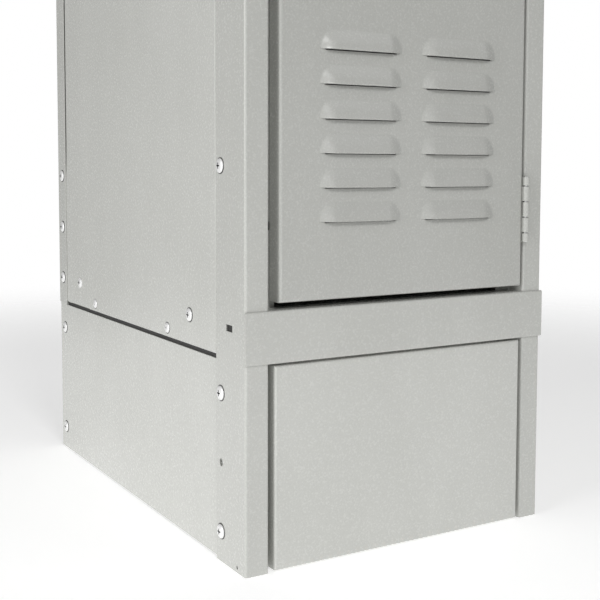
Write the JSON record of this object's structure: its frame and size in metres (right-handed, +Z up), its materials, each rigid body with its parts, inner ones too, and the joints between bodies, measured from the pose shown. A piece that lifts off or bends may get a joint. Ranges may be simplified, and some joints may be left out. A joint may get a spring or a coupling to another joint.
{
  "type": "locker cabinet",
  "caption": "Tall narrow steel locker on a closed base, one louvred hinged door with a lift latch, a hat shelf and coat hooks inside.",
  "frame": {"origin": "on the floor under the middle of the locker's footprint box", "axes": "+Z up, +X to the right across the front, +Y from the door towards the back"},
  "size_m": [0.3096, 0.463, 1.9812],
  "materials": {
    "grey_enamel": "light grey semi-gloss baked enamel",
    "zinc": "bright zinc plate",
    "stainless": "brushed stainless steel",
    "bumper_rubber": "dark matt rubber",
    "aluminium_plate": "satin"
  },
  "bodies": {
    "frame": {"left_front_upright": "grey_enamel", "right_front_upright": "grey_enamel", "bottom_cross_member": "grey_enamel", "top_cross_member": "grey_enamel", "left_side_panel": "grey_enamel", "right_side_panel": "grey_enamel", "back_panel": "grey_enamel", "bottom_panel": "grey_enamel", "hat_shelf": "grey_enamel", "top_panel": "grey_enamel", "front_base_panel": "grey_enamel", "left_end_base": "grey_enamel", "right_end_base": "grey_enamel", "left_rear_leg": "grey_enamel", "right_rear_leg": "grey_enamel", "frame_hooks": "zinc", "door_bumpers": "bumper_rubber", "ceiling_hook": "zinc", "left_wall_hook": "zinc", "right_wall_hook": "zinc", "hinge_frame_leaf_lower": "grey_enamel", "hinge_frame_leaf_middle": "grey_enamel", "hinge_frame_leaf_upper": "grey_enamel", "hinge_pin_lower": "zinc", "hinge_pin_middle": "zinc", "hinge_pin_upper": "zinc", "frame_bolts": "zinc", "frame_nuts": "zinc", "panel_bolts": "zinc", "panel_nuts": "zinc", "panel_rivets": "zinc", "base_screws": "zinc", "hook_screws": "zinc"},
    "door": {"door_panel": "grey_enamel", "door_stiffener": "grey_enamel", "handle_cup": "stainless", "padlock_eye": "zinc", "bar_guides": "zinc", "number_plate": "aluminium_plate", "hinge_door_leaf_lower": "grey_enamel", "hinge_door_leaf_middle": "grey_enamel", "hinge_door_leaf_upper": "grey_enamel", "guide_rivets": "zinc", "plate_rivets": "aluminium_plate"},
    "latch": {"latch_bar": "zinc", "lift_trigger": "stainless", "trigger_rivets": "zinc"}
  },
  "joints": [
    {"name": "door_hinge", "type": "hinge", "parent": "frame", "child": "door", "pos_m": [0.1309, -0.22865, 0.9906], "axis": [0, 0, 1], "range_deg": [0, 170]},
    {"name": "latch_lift", "type": "slide", "parent": "door", "child": "latch", "axis": [0, 0, 1], "range_m": [-0.01, 0]}
  ]
}
